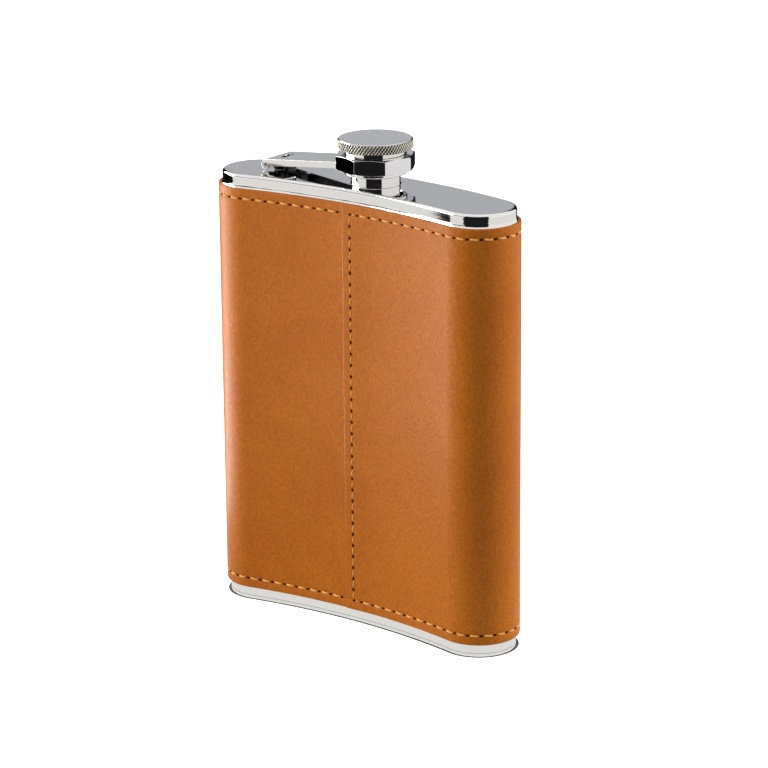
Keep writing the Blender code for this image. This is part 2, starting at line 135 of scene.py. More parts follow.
SEAL_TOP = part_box("cap_seal")[1].z - BODY_TOP

# The collar is an eight-sided nut; the arm and bracket are drawn about the pin's axis.
COLLAR_CORNER = 0.0108
COLLAR_TURN = radians(6.2)
COLLAR_BORE = 0.0083
COLLAR_CONE = 2.6
COLLAR_EDGE = 0.00009
COLLAR_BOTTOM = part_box("cap_collar")[0].z - BODY_TOP
COLLAR_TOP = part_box("cap_collar")[1].z - BODY_TOP
PIN_AXIS = Vector((-0.033, 0, (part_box("hinge_pin")[0].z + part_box("hinge_pin")[1].z) / 2))
PIN_RADIUS = 0.00045
PIN_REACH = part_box("hinge_pin")[1].y
PIN_STEPS = 40
ARM_SLOPE = radians(6.0)
ARM_HALF_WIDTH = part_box("retaining_arm")[1].y
ARM_SHEET = 0.0005
ARM_ROUND = 0.0014
ARM_BEND = 0.0004
ARM_EDGE = 0.00008
ARM_PLAY = 0.00004
FLANGE_DEPTH = 0.00185
ARM_REACH = 0.0262
SLOT_X = 0.0034
SLOT_WIDTH = 0.0018
SLOT_LENGTH = 0.0056
WEB_OVERHANG = 0.0006
BRACKET_HALF_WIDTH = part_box("hinge_bracket")[1].y
BRACKET_LENGTH = 0.0046
BRACKET_CORNER = 0.0028
BRACKET_SHEET = 0.0008
EAR_TOP = 0.0008
EAR_ROUND = 0.0008
EAR_FOOT = 0.0016
EAR_NOTCH = 0.0004
BRACKET_EDGE = 0.00016

# The camera's place, and where it looks relative to the point it circles.
CAMERA_AZIMUTH = radians(37.68)
CAMERA_ELEVATION = radians(17.43)
CAMERA_DISTANCE = 0.9054
CAMERA_TARGET = Vector((0, 0, 0.060))
CAMERA_AIM_RIGHT = 0.00176
CAMERA_AIM_UP = 0.00481
CAMERA_LENS = 157.8
CAMERA_ROLL = radians(-0.48)

# The studio, with its colours. Bearings are in degrees from +X towards +Y; the camera stands at -52.
CAMERA_SIDE = (-97, -24)
RIGHT_FIELD = (-24, 90)
DARK_RIGHT = (90, 121)
BACKDROP = (121, 141)
DARK_LEFT = (141, 204.5)
LEFT_FIELD = (-155.5, -97)
KEY_PANEL = (-195, -142)
KEY_TABLE = (-186, -144)
KEY_RADIUS = 1.5
KEY_TABLE_RADIUS = 1.4
KEY_BOTTOM, KEY_TOP = 0.35, 1.2
ROOM_RADIUS = 1.6
ROOM_HEIGHT = 1.3
NEAR_TABLE = 0.12
GAP_BOTTOM = 0.50
GAP_HEIGHT = 0.86
FLOOR_GLOW = 0.8
FLOOR_RADIUS = 6.0
WORLD_GLOW = 0.47
SOFTBOX_RADIUS = 1.1
SOFTBOX_HEIGHT = 0.45
SOFTBOX_AIM = Vector((0, 0, 0.06))
CARD_LIFT = 0.0002
SHADOW_WIDTH = 0.0008
STEEL = (0.80, 0.80, 0.79)
DARK = (0.012, 0.012, 0.013)
GREY = (0.46, 0.47, 0.49)
TABLE = (0.88, 0.87, 0.84)
WHITE = (1.0, 0.98, 0.95)
KEY_WHITE = (9.0, 8.8, 8.5)

PLATE_SHEET = 0.0009
PLATE_SPIGOT = 0.0026
PLATE_SPIGOT_WALL = 0.0005
RIM_ROUND = 0.0009
BASE_ROUND = 0.0003
RIM_STEPS = 10
TURN_STEPS = 128
SMALL_EASE = 0.0001
CUT_REACH = 0.004


# ---------------------------------------------------------------- outline of the body


def outline_arcs():
    """The outline as arcs of (centre, radius, first angle, last angle, side); side -1 is hollow."""
    hollow = (0, -THICKNESS / 2 - HOLLOW_RADIUS)
    back = (0, THICKNESS / 2 - BACK_RADIUS)
    # The end circle touches both long arcs, which gives a quadratic for its radius.
    lean = (HOLLOW_RADIUS + BACK_RADIUS) / (THICKNESS + HOLLOW_RADIUS - BACK_RADIUS)
    reach = (WIDTH - THICKNESS) / 2
    rise = HOLLOW_RADIUS + THICKNESS / 2
    linear = 2 * (lean * rise - reach - rise)
    shrink = (sqrt(linear**2 - 4 * (lean * reach) ** 2) - linear) / (2 * lean**2)
    end = THICKNESS / 2 + shrink
    x, y = WIDTH / 2 - end, lean * shrink
    at_hollow = atan2(y - hollow[1], x)
    at_back = atan2(y - back[1], x)
    return [
        (hollow, HOLLOW_RADIUS, pi / 2, at_hollow, -1),
        ((x, y), end, at_hollow - pi, at_back, 1),
        (back, BACK_RADIUS, at_back, pi - at_back, 1),
        ((-x, y), end, pi - at_back, 2 * pi - at_hollow, 1),
        (hollow, HOLLOW_RADIUS, pi - at_hollow, pi / 2, -1),
    ]


ARCS = outline_arcs()
PERIMETER = sum(radius * abs(last - first) for _, radius, first, last, _ in ARCS)


def place(along, height, out):
    """A point of the row frame from a place on the leather."""
    rest = along % PERIMETER
    for centre, radius, first, last, side in ARCS:
        length = radius * abs(last - first)
        if rest <= length:
            break
        rest -= length
    angle = first + (last - first) * min(rest / length, 1.0)
    reach = radius + side * out
    return Vector((centre[0] + reach * cos(angle), centre[1] + reach * sin(angle), height))


def outward(along):
    """The leather's outward direction."""
    return (place(along, 0, 10 * SMALL_EASE) - place(along, 0, 0)).normalized()


def smooth_step(value, low, high):
    share = min(1.0, max(0.0, (value - low) / (high - low)))
    return share * share * (3 - 2 * share)


# ---------------------------------------------------------------- mesh helpers


def new_piece(name, mesh, material, body, slot, *nodes):
    piece = bpy.data.objects.new(name, mesh)
    bpy.context.scene.collection.objects.link(piece)
    mesh.materials.clear()
    mesh.materials.append(material)
    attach(piece, body)
    if nodes:
        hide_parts(*nodes)
    return piece


def lattice(name, rows, wrap_rows=False, wrap_columns=True, caps=(), crease=radians(34)):
    """A mesh through rows of points. caps are runs of points, as indices, to close with one face."""
    count = len(rows[0])
    points = [point for row in rows for point in row]
    row_total = len(rows) if wrap_rows else len(rows) - 1
    column_total = count if wrap_columns else count - 1
    faces = []
    for i in range(row_total):
        below, above = i * count, (i + 1) % len(rows) * count
        for j in range(column_total):
            beside = (j + 1) % count
            faces.append((below + j, below + beside, above + beside, above + j))
    faces.extend(caps)
    mesh = bpy.data.meshes.new(name)
    mesh.from_pydata(points, [], faces)
    return tidy_mesh(mesh, crease)


def tidy_mesh(mesh, crease=radians(34)):
    """Merges doubled points, faces everything outwards and shades it smooth up to the crease angle."""
    bm = bmesh.new()
    bm.from_mesh(mesh)
    bmesh.ops.remove_doubles(bm, verts=bm.verts, dist=1e-7)
    bmesh.ops.recalc_face_normals(bm, faces=bm.faces)
    bm.to_mesh(mesh)
    bm.free()
    mesh.shade_smooth()
    mesh.set_sharp_from_angle(angle=crease)
    return mesh


def ring(radius, height, steps=TURN_STEPS):
    angles = (2 * pi * i / steps for i in range(steps))
    return [Vector((radius * cos(a), radius * sin(a), BODY_TOP + height)) for a in angles]


def turned(name, profile, closed=True):
    """Turns (radius, height over the body's top) round the neck's axis."""
    return lattice(name, [ring(radius, height) for radius, height in profile], wrap_rows=closed)


def drill(radius):
    """A cylinder round the neck's axis, long enough to pass through any part of the cap."""
    reach = 0.02
    profile = [(0, reach), (radius, reach), (radius, -reach), (0, -reach)]
    return turned("drill", profile, closed=False)


def weighted_normals(piece):
    """Keeps flat faces flat in reflections where they meet a rounded edge."""
    weighting = piece.modifiers.new("weighted normals", "WEIGHTED_NORMAL")
    weighting.keep_sharp = True
    weighting.weight = 100


def shape(name, mesh):
    """A bare object, for shaping others or before it becomes a piece."""
    made = bpy.data.objects.new(name, mesh)
    bpy.context.scene.collection.objects.link(made)
    return made


def cut(piece, mesh, operation="DIFFERENCE"):
    """Cuts a mesh from the piece, or with INTERSECT keeps only what lies inside it."""
    tool = shape("tool", mesh)
    boolean = piece.modifiers.new("cut", "BOOLEAN")
    boolean.operation = operation
    boolean.object = tool
    boolean.solver = "EXACT"
    graph = bpy.context.evaluated_depsgraph_get()
    graph.update()
    mesh = bpy.data.meshes.new_from_object(piece.evaluated_get(graph))
    piece.modifiers.clear()
    piece.data = mesh
    bpy.data.objects.remove(tool)


def block(low, high):
    """A box mesh between two corners."""
    corners = [(x, y, z) for z in (low[2], high[2]) for x, y in (
        (low[0], low[1]), (high[0], low[1]), (high[0], high[1]), (low[0], high[1])
    )]
    return lattice("block", [corners[:4], corners[4:]], caps=[(0, 1, 2, 3), (4, 5, 6, 7)])


def rod_ring(radius, y, steps):
    """A ring of points round the Y axis."""
    turns = (2 * pi * i / steps for i in range(steps))
    return [Vector((radius * cos(turn), y, radius * sin(turn))) for turn in turns]


def rod_mesh(radius, low, high, steps=48):
    """A rod along Y."""
    rows = [rod_ring(radius, y, steps) for y in (low, high)]
    return lattice("rod", rows, caps=[tuple(range(steps)), tuple(range(steps, 2 * steps))])


def plate_of(outline, low, high, upright=False):
    """A prism from an outline: flat ones rise along Z, upright ones run along Y."""
    rows = [
        [Vector((x, level, y) if upright else (x, y, level)) for x, y in outline]
        for level in (low, high)
    ]
    count = len(outline)
    return lattice("plate", rows, caps=[tuple(range(count)), tuple(range(count, 2 * count))])


def arc(centre, radius, start, end, steps):
    angles = [start + (end - start) * i / steps for i in range(steps + 1)]
    return [(centre[0] + radius * cos(a), centre[1] + radius * sin(a)) for a in angles]


def round_edges(piece, width, segments=4, angle=radians(50)):
    """Rounds the edges made so far and keeps the result."""
    bevel = piece.modifiers.new("bevel", "BEVEL")
    bevel.width = width
    bevel.segments = segments
    bevel.limit_method = "ANGLE"
    bevel.angle_limit = angle
    bevel.use_clamp_overlap = True
    graph = bpy.context.evaluated_depsgraph_get()
    graph.update()
    mesh = bpy.data.meshes.new_from_object(piece.evaluated_get(graph))
    piece.modifiers.clear()
    piece.data = mesh


# ---------------------------------------------------------------- materials


class Nodes:
    """A material's node tree with short ways to add and join nodes."""

    def __init__(self, name):
        self.material = bpy.data.materials.new(name)
        self.material.use_nodes = True
        self.tree = self.material.node_tree
        self.shader = self.tree.nodes["Principled BSDF"]
        self.coordinates = self.tree.nodes.new("ShaderNodeTexCoord").outputs["Object"]

    def link(self, source, target):
        self.tree.links.new(source, target)

    def set(self, **values):
        for key, value in values.items():
            self.shader.inputs[key.replace("_", " ")].default_value = value

    def stretched(self, scale):
        mapping = self.tree.nodes.new("ShaderNodeMapping")
        mapping.inputs["Scale"].default_value = scale
        self.link(self.coordinates, mapping.inputs["Vector"])
        return mapping.outputs["Vector"]

    def noise(self, scale, detail=3.0, roughness=0.5, vector=None, distortion=0.0):
        node = self.tree.nodes.new("ShaderNodeTexNoise")
        node.inputs["Scale"].default_value = scale
        node.inputs["Detail"].default_value = detail
        node.inputs["Roughness"].default_value = roughness
        node.inputs["Distortion"].default_value = distortion
        self.link(vector or self.coordinates, node.inputs["Vector"])
        return node.outputs["Fac"]

    def cells(self, scale, vector=None):
        node = self.tree.nodes.new("ShaderNodeTexVoronoi")
        node.feature = "SMOOTH_F1"
        node.inputs["Scale"].default_value = scale
        node.inputs["Smoothness"].default_value = 0.35
        self.link(vector or self.coordinates, node.inputs["Vector"])
        return node.outputs["Distance"]

    def ramp(self, source, *stops):
        node = self.tree.nodes.new("ShaderNodeValToRGB")
        ramp = node.color_ramp
        while len(ramp.elements) < len(stops):
            ramp.elements.new(0.5)
        for element, (position, colour) in zip(ramp.elements, stops):
            element.position = position
            element.color = colour if len(colour) == 4 else (*colour, 1.0)
        self.link(source, node.inputs["Fac"])
        return node.outputs["Color"]

    def scaled(self, source, low, high):
        node = self.tree.nodes.new("ShaderNodeMapRange")
        node.inputs["From Min"].default_value = 0.3
        node.inputs["From Max"].default_value = 0.7
        node.inputs["To Min"].default_value = low
        node.inputs["To Max"].default_value = high
        self.link(source, node.inputs["Value"])
        return node.outputs["Result"]

    def bump(self, height, distance, strength=1.0, normal=None):
        node = self.tree.nodes.new("ShaderNodeBump")
        node.inputs["Distance"].default_value = distance
        node.inputs["Strength"].default_value = strength
        self.link(height, node.inputs["Height"])
        if normal:
            self.link(normal, node.inputs["Normal"])
        return node.outputs["Normal"]


def steel_material(name, colour, roughness, wobble=0.0, wobble_scale=(60, 60, 500), haze=0.03):
    """Polished stainless steel with faint hazing and, on thin sheet, a slight unevenness."""
    nodes = Nodes(name)
    nodes.set(Base_Color=(*colour, 1.0), Metallic=1.0)
    patches = nodes.noise(220, 4.0, 0.6)
    nodes.link(nodes.scaled(patches, roughness, roughness + haze), nodes.shader.inputs["Roughness"])
    fine = nodes.noise(1.0, 2.0, 0.5, nodes.stretched((900, 900, 9000)))
    normal = nodes.bump(fine, 0.0000012)
    if wobble:
        uneven = nodes.noise(1.0, 2.0, 0.5, nodes.stretched(wobble_scale))
        normal = nodes.bump(uneven, wobble, normal=normal)
    nodes.link(normal, nodes.shader.inputs["Normal"])
    return nodes.material


def leather_material():
    """Smooth vegetable-tanned leather: mottled tan, fine pores and a satin finish."""
    nodes = Nodes("tan_leather")
    mottle = nodes.noise(34, 5.0, 0.6, distortion=0.6)
    colour = nodes.ramp(
        mottle,
        (0.30, (0.405, 0.104, 0.0032)),
        (0.52, (0.440, 0.121, 0.0042)),
        (0.75, (0.470, 0.135, 0.0056)),
    )
    specks = nodes.noise(1.0, 3.0, 0.7, nodes.stretched((1900, 1900, 1300)))
    mix = nodes.tree.nodes.new("ShaderNodeMix")
    mix.data_type = "RGBA"
    mix.blend_type = "MULTIPLY"
    mix.inputs["Factor"].default_value = 0.60
    nodes.link(colour, mix.inputs["A"])
    pores = nodes.ramp(specks, (0.38, (0.66, 0.60, 0.52)), (0.60, (1.08, 1.08, 1.08)))
    nodes.link(pores, mix.inputs["B"])
    nodes.link(mix.outputs["Result"], nodes.shader.inputs["Base Color"])
    rough = nodes.noise(260, 4.0, 0.6)
    nodes.link(nodes.scaled(rough, 0.36, 0.45), nodes.shader.inputs["Roughness"])
    nodes.set(Specular_IOR_Level=0.14)
    grain = nodes.cells(1700, nodes.stretched((1.0, 1.0, 0.55)))
    normal = nodes.bump(grain, 0.00005, 0.9)
    normal = nodes.bump(nodes.noise(4200, 2.0, 0.6), 0.000012, 0.8, normal)
    normal = nodes.bump(nodes.noise(120, 3.0, 0.5), 0.00012, 0.5, normal)
    nodes.link(normal, nodes.shader.inputs["Normal"])
    return nodes.material


def hole_painted_shade_material():
    # The holes are only shallow dimples; their dark brown colour is painted shade.
    nodes = Nodes("stitch_hole_painted_shade")
    patches = nodes.noise(2500, 2.0, 0.5)
    nodes.link(
        nodes.ramp(patches, (0.3, (0.020, 0.004, 0.002)), (0.7, (0.045, 0.011, 0.006))),
        nodes.shader.inputs["Base Color"],
    )
    nodes.set(Roughness=0.9, Specular_IOR_Level=0.05)
    return nodes.material


def thread_material():
    """Waxed golden thread. The noise that raises its fibres also darkens the low parts between them,
    painted shade.
    """
    nodes = Nodes("waxed_thread")
    fibre_relief_and_shade = nodes.noise(5200, 3.0, 0.6)
    nodes.link(
        nodes.ramp(fibre_relief_and_shade, (0.3, (0.62, 0.24, 0.025)), (0.7, (0.98, 0.47, 0.09))),
        nodes.shader.inputs["Base Color"],
    )
    nodes.set(Roughness=0.55, Sheen_Weight=0.25, Specular_IOR_Level=0.4)
    nodes.link(nodes.bump(fibre_relief_and_shade, 0.00002), nodes.shader.inputs["Normal"])
    return nodes.material


def rubber_material():
    nodes = Nodes("seal_rubber")
    dust = nodes.noise(1800, 3.0, 0.6)
    nodes.link(
        nodes.ramp(dust, (0.3, (0.60, 0.59, 0.55)), (0.7, (0.74, 0.73, 0.69))),
        nodes.shader.inputs["Base Color"],
    )
    nodes.set(Roughness=0.6, Specular_IOR_Level=0.35)
    nodes.link(nodes.bump(dust, 0.00002), nodes.shader.inputs["Normal"])
    return nodes.material


# ---------------------------------------------------------------- steel body


def outline_ring(out, height):
    steps = int(PERIMETER / OUTLINE_STEP)
    return [place(PERIMETER * i / steps, height, STEEL_OUT + out) for i in range(steps)]


def band_profile(height):
    """How far the upper band stands out of its plain tube: waisted, then flared at the leather."""
    above = height - WRAP_HIGH.z
    span = BODY_TOP - WRAP_HIGH.z
    flare = BAND_FLARE_CURVE * max(0.0, BAND_FLARE_REACH - above) ** 2
    return flare - BAND_WAIST * sin(pi * above / span)


def make_body_wall(band, satin):
    """The bent tube. Its upper edge is polished flush with the plate above it."""
    low, top = WALL_LOW.z, BODY_TOP - RIM_ROUND
    hidden = WRAP_HIGH.z - BAND_TUCK
    steps = range(BAND_STEPS + 1)
    heights = [WRAP_HIGH.z + (top - WRAP_HIGH.z) * i / BAND_STEPS for i in steps]
    stations = [(0, low), (0, WRAP_LOW.z), (0, hidden - 2 * BAND_TUCK)]
    stations.append((band_profile(WRAP_HIGH.z), hidden))
    stations += [(band_profile(height), height) for height in heights]
    stations += [(-WALL_SHEET, top), (-WALL_SHEET, low)]
    rows = [outline_ring(out, height) for out, height in stations]
    mesh = lattice("body_wall_skin", rows, wrap_rows=True)
    new_piece("body_wall_skin", mesh, band, "flask", "body_steel", "body_wall")
    mesh.materials.append(satin)
    for face in mesh.polygons:
        face.material_index = 1 if face.center.z < WRAP_LOW.z else 0


def plate_mesh(name, face, inward, rounding):
    """A pressed end plate with a rounded rim and its spigot inside the wall."""
    inside = face + inward * PLATE_SHEET
    spigot = -WALL_SHEET - SMALL_EASE
    tip = inside + inward * PLATE_SPIGOT
    stations = [(-2 * RIM_ROUND, face)]
    for i in range(RIM_STEPS + 1):
        angle = pi / 2 * (1 - i / RIM_STEPS)
        drop = inward * rounding * (1 - sin(angle))
        stations.append((-rounding * (1 - cos(angle)), face + drop))
    if rounding < PLATE_SHEET:
        stations.append((0, inside))
    inner = spigot - PLATE_SPIGOT_WALL
    stations += [(spigot, inside), (spigot, tip), (inner, tip), (inner, inside)]
    rows = [outline_ring(out, height) for out, height in stations]
    count = len(rows[0])
    last = (len(rows) - 1) * count
    return lattice(name, rows, caps=[tuple(range(count)), tuple(range(last, last + count))])


def make_top_plate(material):
    made = shape("plate", plate_mesh("plate", BODY_TOP, -1, RIM_ROUND))
    cut(made, drill(SPIGOT_RADIUS))
    mesh = tidy_mesh(made.data)
    bpy.data.objects.remove(made)
    plate = new_piece("top_plate_skin", mesh, material, "flask", "mirror_steel", "top_plate")
    weighted_normals(plate)


def make_bottom_plate(material):
    mesh = plate_mesh("bottom_plate_skin", 0, 1, BASE_ROUND)
    plate = new_piece("bottom_plate_skin", mesh, material, "flask", "body_steel", "bottom_plate")
    weighted_normals(plate)


# ---------------------------------------------------------------- neck and cap


def make_neck(material):
    """The spout, with its screw thread, and the small fillet where it meets the plate."""
    ease = SMALL_EASE
    rows = [
        ring(radius, height)
        for radius, height in (
            (NECK_BORE, -SPIGOT_DEPTH), (NECK_BORE, NECK_HEIGHT - 4 * ease),
            (NECK_BORE + 1.5 * ease, NECK_HEIGHT - ease), (NECK_BORE + 4 * ease, NECK_HEIGHT),
        )
    ]
    thread = (NECK_SHOULDER + 3 * ease, NECK_HEIGHT - 3 * ease)
    rows += reversed(wave_ridge(THREAD_ROOT, THREAD_CREST, *thread, 0))
    rows += [
        ring(radius, height)
        for radius, height in (
            (NECK_RADIUS - 2 * ease, NECK_SHOULDER),
            (NECK_RADIUS - 0.6 * ease, NECK_SHOULDER - 0.6 * ease),
            (NECK_RADIUS, NECK_SHOULDER - 2 * ease), (NECK_RADIUS, 2.5 * ease),
            (NECK_RADIUS + 0.7 * ease, 0.7 * ease), (NECK_RADIUS + 2.5 * ease, -0.1 * ease),
            (SPIGOT_RADIUS - ease, -ease), (SPIGOT_RADIUS - ease, -SPIGOT_DEPTH),
        )
    ]
    mesh = lattice("neck_spout", rows, wrap_rows=True)
    piece = new_piece("neck_spout", mesh, material, "flask", "mirror_steel", "neck")
    weighted_normals(piece)


def knurl_height(angle, height):
    """Crossed knurling: diamonds between two sets of slanting grooves."""
    around = angle / (2 * pi) * KNURLS
    up = height / (2 * pi * HEAD_RADIUS / KNURLS) * 0.75
    main, crossing = (2 * abs((around + side * up) % 1.0 - 0.5) for side in (-1, 1))
    return min(1.0, 1.6 * main, KNURL_CROSSING + 1.6 * crossing)


def make_cap_head(steel, knurled, groove):
    """The head: a crowned disc over a knurled rim, hollow underneath for the sleeve. Its knurl grooves
    are coloured near-black, painted shade.
    """
    columns = KNURLS * 8
    rim_top = HEAD_CROWN - KNURL_TOP
    rows = [ring(0, HEAD_CROWN, columns)]
    for share in (0.2, 0.4, 0.6, 0.8, 0.9):
        rows.append(ring(HEAD_RADIUS * share, HEAD_CROWN - CROWN_DROP * share**2.5, columns))
    ease = 2 * SMALL_EASE
    edge = HEAD_RADIUS - KNURL_DEPTH - ease
    for i in range(CROWN_STEPS + 1):
        angle = pi / 2 * i / CROWN_STEPS
        height = HEAD_CROWN - CROWN_DROP - ease * (1 - cos(angle))
        rows.append(ring(edge + ease * sin(angle), height, columns))
    levels = KNURL_LEVELS
    for i in range(levels + 1):
        height = rim_top + (HEAD_BOTTOM + SMALL_EASE - rim_top) * i / levels
        fade = smooth_step(i, -0.5, 1.5) * (1 - smooth_step(i, levels - 1.5, levels + 0.5))
        row = []
        for j in range(columns):
            angle = 2 * pi * j / columns
            radius = HEAD_RADIUS - KNURL_DEPTH * (1 - knurl_height(angle, height) * fade)
            row.append(Vector((radius * cos(angle), radius * sin(angle), BODY_TOP + height)))
        rows.append(row)
    for radius, height in (
        (HEAD_RADIUS - KNURL_DEPTH - SMALL_EASE, HEAD_BOTTOM), (HEAD_RECESS + SMALL_EASE, HEAD_BOTTOM),
        (HEAD_RECESS, HEAD_BOTTOM + SMALL_EASE), (HEAD_RECESS, HEAD_CEILING), (0, HEAD_CEILING),
    ):
        rows.append(ring(radius, height, columns))
    mesh = lattice("cap_knurled_head", rows, crease=radians(50))
    new_piece("cap_knurled_head", mesh, steel, "cap", "mirror_steel", "cap_head")
    mesh.materials.append(knurled)
    mesh.materials.append(groove)
    for face in mesh.polygons:
        middle = face.center
        beside = middle.xy.length > HEAD_RECESS + 8 * SMALL_EASE
        if beside and middle.z < BODY_TOP + rim_top + SMALL_EASE / 3:
            raised = knurl_height(atan2(middle.y, middle.x), middle.z - BODY_TOP)
            # Low knurl faces get the near-black material: painted shade in the grooves.
            face.material_index = 1 if raised > KNURL_SHADE else 2


def wave_ridge(radius, crest, foot, top, phase):
    """Rows of a screw thread rising inwards or outwards from a tube between two heights."""
    rows = []
    levels = 48
    for i in range(levels + 1):
        height = foot + (top - foot) * i / levels
        rise = smooth_step(height, foot, foot + THREAD_FADE)
        fade = rise * (1 - smooth_step(height, top - THREAD_FADE, top))
        row = []
        for j in range(TURN_STEPS):
            turns = height / THREAD_PITCH - j / TURN_STEPS + phase
            wave = max(0.0, 1.6 * abs(2 * (turns - floor(turns)) - 1) - 0.6)
            reach = radius + (crest - radius) * wave * fade
            angle = 2 * pi * j / TURN_STEPS
            row.append(Vector((reach * cos(angle), reach * sin(angle), BODY_TOP + height)))
        rows.append(row)
    return rows


def make_sleeve(steel):
    ease = SMALL_EASE
    step = RING_TOP + ease
    rows = [
        ring(radius, height)
        for radius, height in (
            (SLEEVE_BORE, SLEEVE_TOP), (SLEEVE_RADIUS, SLEEVE_TOP), (SLEEVE_RADIUS, step),
            (SLEEVE_STEP, step), (SLEEVE_STEP, RING_BOTTOM + ease), (SLEEVE_STEP - ease, RING_BOTTOM),
            (SLEEVE_BORE + 3 * ease, RING_BOTTOM), (SLEEVE_BORE, RING_BOTTOM + 3 * ease),
        )
    ]
    low, high = RING_BOTTOM + RIDGE_START, RING_BOTTOM + RIDGE_END
    rows += wave_ridge(SLEEVE_BORE, RIDGE_RADIUS, low, high, 0.3)
    mesh = lattice("cap_sleeve_skin", rows, wrap_rows=True)
    weighted_normals(new_piece("cap_sleeve_skin", mesh, steel, "cap", "mirror_steel", "cap_sleeve"))


def make_cap_ring(steel):
    """The turned bead round the sleeve's foot, rounded over its outside."""
    bore = SLEEVE_STEP + SMALL_EASE
    ease = SMALL_EASE / 2
    middle = (RING_BOTTOM + RING_TOP) / 2
    half = (RING_TOP - RING_BOTTOM) / 2
    profile = [(bore, RING_BOTTOM + ease), (bore, RING_TOP - ease), (bore + ease, RING_TOP)]
    for i in range(RING_STEPS + 1):
        angle = pi / 2 - pi * i / RING_STEPS
        bulge = RING_RADIUS - RING_BULGE * (1 - cos(angle))
        profile.append((bulge, middle + half * sin(angle)))
    profile.append((bore + ease, RING_BOTTOM))
    mesh = turned("cap_ring_skin", profile)
    weighted_normals(new_piece("cap_ring_skin", mesh, steel, "cap", "mirror_steel", "cap_ring"))


def make_seal(rubber):
    """The soft washer in the cap, with the shallow groove that the neck's lip presses into it."""
    ease = 1.5 * SMALL_EASE
    lip = (NECK_BORE + THREAD_ROOT) / 2
    profile = [(0, SEAL_TOP), (SEAL_RADIUS - ease, SEAL_TOP), (SEAL_RADIUS, SEAL_TOP - ease)]
    profile += [(SEAL_RADIUS, SEAL_BOTTOM + ease), (SEAL_RADIUS - ease, SEAL_BOTTOM)]
    for i in range(9):
        across = 1 - i / 4
        profile.append((lip + LIP_WIDTH * across, SEAL_BOTTOM + LIP_DEPTH * (1 - across**2)))
    profile.append((0, SEAL_BOTTOM))
    mesh = turned("cap_seal_skin", profile, closed=False)
    new_piece("cap_seal_skin", mesh, rubber, "cap", "seal_rubber", "cap_seal")


# ---------------------------------------------------------------- collar, arm and hinge


def octagon(corner):
    """The collar's plan."""
    return arc((0, 0), corner, COLLAR_TURN, COLLAR_TURN + 2 * pi, 8)[:-1]


def make_collar(steel):
    """An eight-sided nut with coned corners, bored to turn freely round the sleeve."""
    low, high = BODY_TOP + COLLAR_BOTTOM, BODY_TOP + COLLAR_TOP
    made = shape("nut", plate_of(octagon(COLLAR_CORNER), low, high))
    face = COLLAR_CORNER * cos(pi / 8) - SMALL_EASE / 2
    reach = COLLAR_CORNER + 5 * SMALL_EASE
    fall = (reach - face) / COLLAR_CONE
    cone = [(0, COLLAR_TOP), (face, COLLAR_TOP), (reach, COLLAR_TOP - fall)]
    cone += [(reach, COLLAR_BOTTOM + fall), (face, COLLAR_BOTTOM), (0, COLLAR_BOTTOM)]
    cut(made, turned("cone", cone, False), "INTERSECT")
    cut(made, drill(COLLAR_BORE))
    made.data = tidy_mesh(made.data, radians(20))
    round_edges(made, COLLAR_EDGE, 2, radians(28))
    mesh = tidy_mesh(made.data, radians(60))
    bpy.data.objects.remove(made)
    piece = new_piece("cap_collar_nut", mesh, steel, "arm", "mirror_steel", "cap_collar")
    weighted_normals(piece)


def make_arm(steel):
    """A channel of bent sheet: a web above two flanges, rounded where it hangs on the pin."""
    below = ARM_ROUND - FLANGE_DEPTH
    foot = sqrt(ARM_ROUND**2 - below**2)
    side = arc((0, 0), ARM_ROUND, pi / 2, 2 * pi + atan2(below, foot), 44)
    side += [(ARM_REACH, below), (ARM_REACH, ARM_ROUND)]
    made = shape("channel", plate_of(side, -ARM_HALF_WIDTH, ARM_HALF_WIDTH, upright=True))
    round_edges(made, ARM_BEND)
    room = ARM_HALF_WIDTH - ARM_SHEET
    start = (-CUT_REACH, -room, -CUT_REACH)
    cut(made, block(start, (ARM_REACH + CUT_REACH, room, ARM_ROUND - ARM_SHEET)))
    cut(made, block(start, (-WEB_OVERHANG, room, CUT_REACH)))
    half = SLOT_LENGTH / 2 - SLOT_WIDTH / 2
    slot = arc((SLOT_X, half), SLOT_WIDTH / 2, 0, pi, 12)
    slot += arc((SLOT_X, -half), SLOT_WIDTH / 2, pi, 2 * pi, 12)
    cut(made, plate_of(slot, 0, CUT_REACH))
    round_edges(made, ARM_EDGE, 2, radians(60))
    made.data.transform(Matrix.Translation(PIN_AXIS) @ Matrix.Rotation(-ARM_SLOPE, 4, "Y"))
    seat = octagon(COLLAR_CORNER + ARM_PLAY)
    cut(made, plate_of(seat, BODY_TOP - CUT_REACH, BODY_TOP + 3 * CUT_REACH))
    hole = rod_mesh(PIN_RADIUS + ARM_PLAY, -2 * ARM_HALF_WIDTH, 2 * ARM_HALF_WIDTH)
    hole.transform(Matrix.Translation(PIN_AXIS))
    cut(made, hole)
    mesh = tidy_mesh(made.data, radians(40))
    bpy.data.objects.remove(made)
    piece = new_piece("retaining_arm_skin", mesh, steel, "arm", "mirror_steel", "retaining_arm")
    weighted_normals(piece)


def make_pin(steel):
    """The pin, its ends peened over a small dimple."""
    peened = ((1, 0.00012), (0.86, 0.00003), (0.68, 0), (0.52, 0.00004), (0.40, 0.00022), (0, 0.00028))
    half = [(PIN_RADIUS, 0)] + [(PIN_RADIUS * share, PIN_REACH - depth) for share, depth in peened]
    profile = [(radius, -y) for radius, y in reversed(half[1:])] + half[1:]
    rows = [rod_ring(radius, y, PIN_STEPS) for radius, y in profile]
    mesh = lattice("hinge_pin_skin", rows, crease=radians(70))
    mesh.transform(Matrix.Translation(PIN_AXIS))
    new_piece("hinge_pin_skin", mesh, steel, "arm", "mirror_steel", "hinge_pin")


